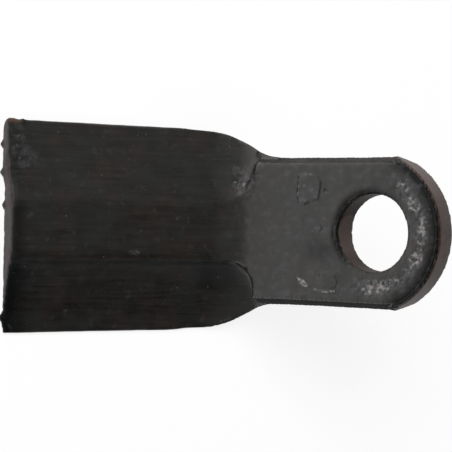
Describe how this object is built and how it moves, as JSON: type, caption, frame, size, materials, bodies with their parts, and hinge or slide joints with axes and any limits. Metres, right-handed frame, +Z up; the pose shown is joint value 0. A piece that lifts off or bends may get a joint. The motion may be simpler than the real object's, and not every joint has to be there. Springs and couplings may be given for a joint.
{
  "type": "hammer mill blade",
  "caption": "Swinging hammer mill blade forged from flat bar: a bent shank with a round pivot hole and a wide blade with a thick spine and bevelled wings.",
  "frame": {"origin": "middle of the part's box on the floor, under the blade's flat back", "axes": "+Z up from the blade's flat back, +X from the sheared tip towards the pivot hole, +Y across the blade towards its thicker edge"},
  "size_m": [0.1254, 0.0692, 0.0769],
  "materials": {
    "forged_steel": "satin black forging scale with an oiled look, bare trimmed edge at the eye and bare sheared tip"
  },
  "bodies": {
    "root": {"hammer_blade": "forged_steel"}
  },
  "joints": []
}
